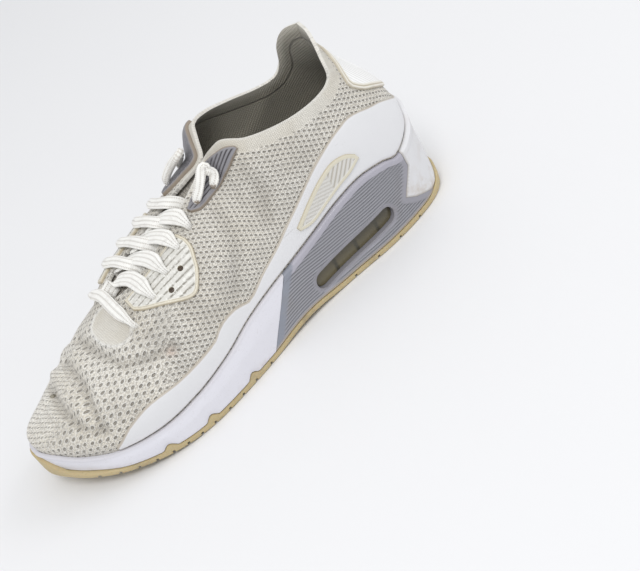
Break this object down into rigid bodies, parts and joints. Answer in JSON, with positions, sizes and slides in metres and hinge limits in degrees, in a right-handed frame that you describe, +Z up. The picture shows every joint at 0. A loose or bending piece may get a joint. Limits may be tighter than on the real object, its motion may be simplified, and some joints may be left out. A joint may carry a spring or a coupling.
{
  "type": "worn knit sneaker",
  "caption": "Worn low-top knit sneaker, left foot, with open collar and throat, cupped midsole with windowed heel block, gum outsole, moulded trim, flat laces and petal eyelet tabs.",
  "frame": {"origin": "middle of the footprint, on the ground that heel and forefoot rest on", "axes": "+X to the toe, +Y to the lateral (outer) side, +Z up"},
  "size_m": [0.2958, 0.1022, 0.1315],
  "materials": {
    "gum_rubber": "worn translucent gum rubber, dusty in the grooves",
    "white_foam": "painted white foam with a faint lilac cast, scuffed along the edge",
    "heel_grey": "satin grey moulded block with fine horizontal ribs",
    "clip_white": "satin white, brown scuffs at the back",
    "cell_olive": "aged olive brown film, glossy",
    "insole_cloth": "flattened woven sock lining",
    "knit": "cream and grey knit with open holes, fuzzed and soiled",
    "trim_white": "smooth fused film, scratched and dusty",
    "trim_cream": "grooved moulded film with yellowed edges",
    "petal_grey": "striped grey tab with a brown cut edge",
    "lace_white": "flat woven cotton lace, off white"
  },
  "bodies": {
    "root": {"outsole": "gum_rubber", "midsole_front": "white_foam", "midsole_heel": "heel_grey", "heel_clip": "clip_white", "cushion_cell": "cell_olive", "insole": "insole_cloth", "upper": "knit", "tongue": "knit", "mudguard": "trim_white", "heel_tab": "trim_cream", "badge_plate": "trim_cream", "eyestay_lateral": "trim_cream", "eyestay_medial": "trim_cream", "petal_lateral": "petal_grey", "petal_medial": "petal_grey", "laces": "lace_white", "lace_loop_lateral": "lace_white", "lace_loop_medial": "lace_white"}
  },
  "joints": []
}
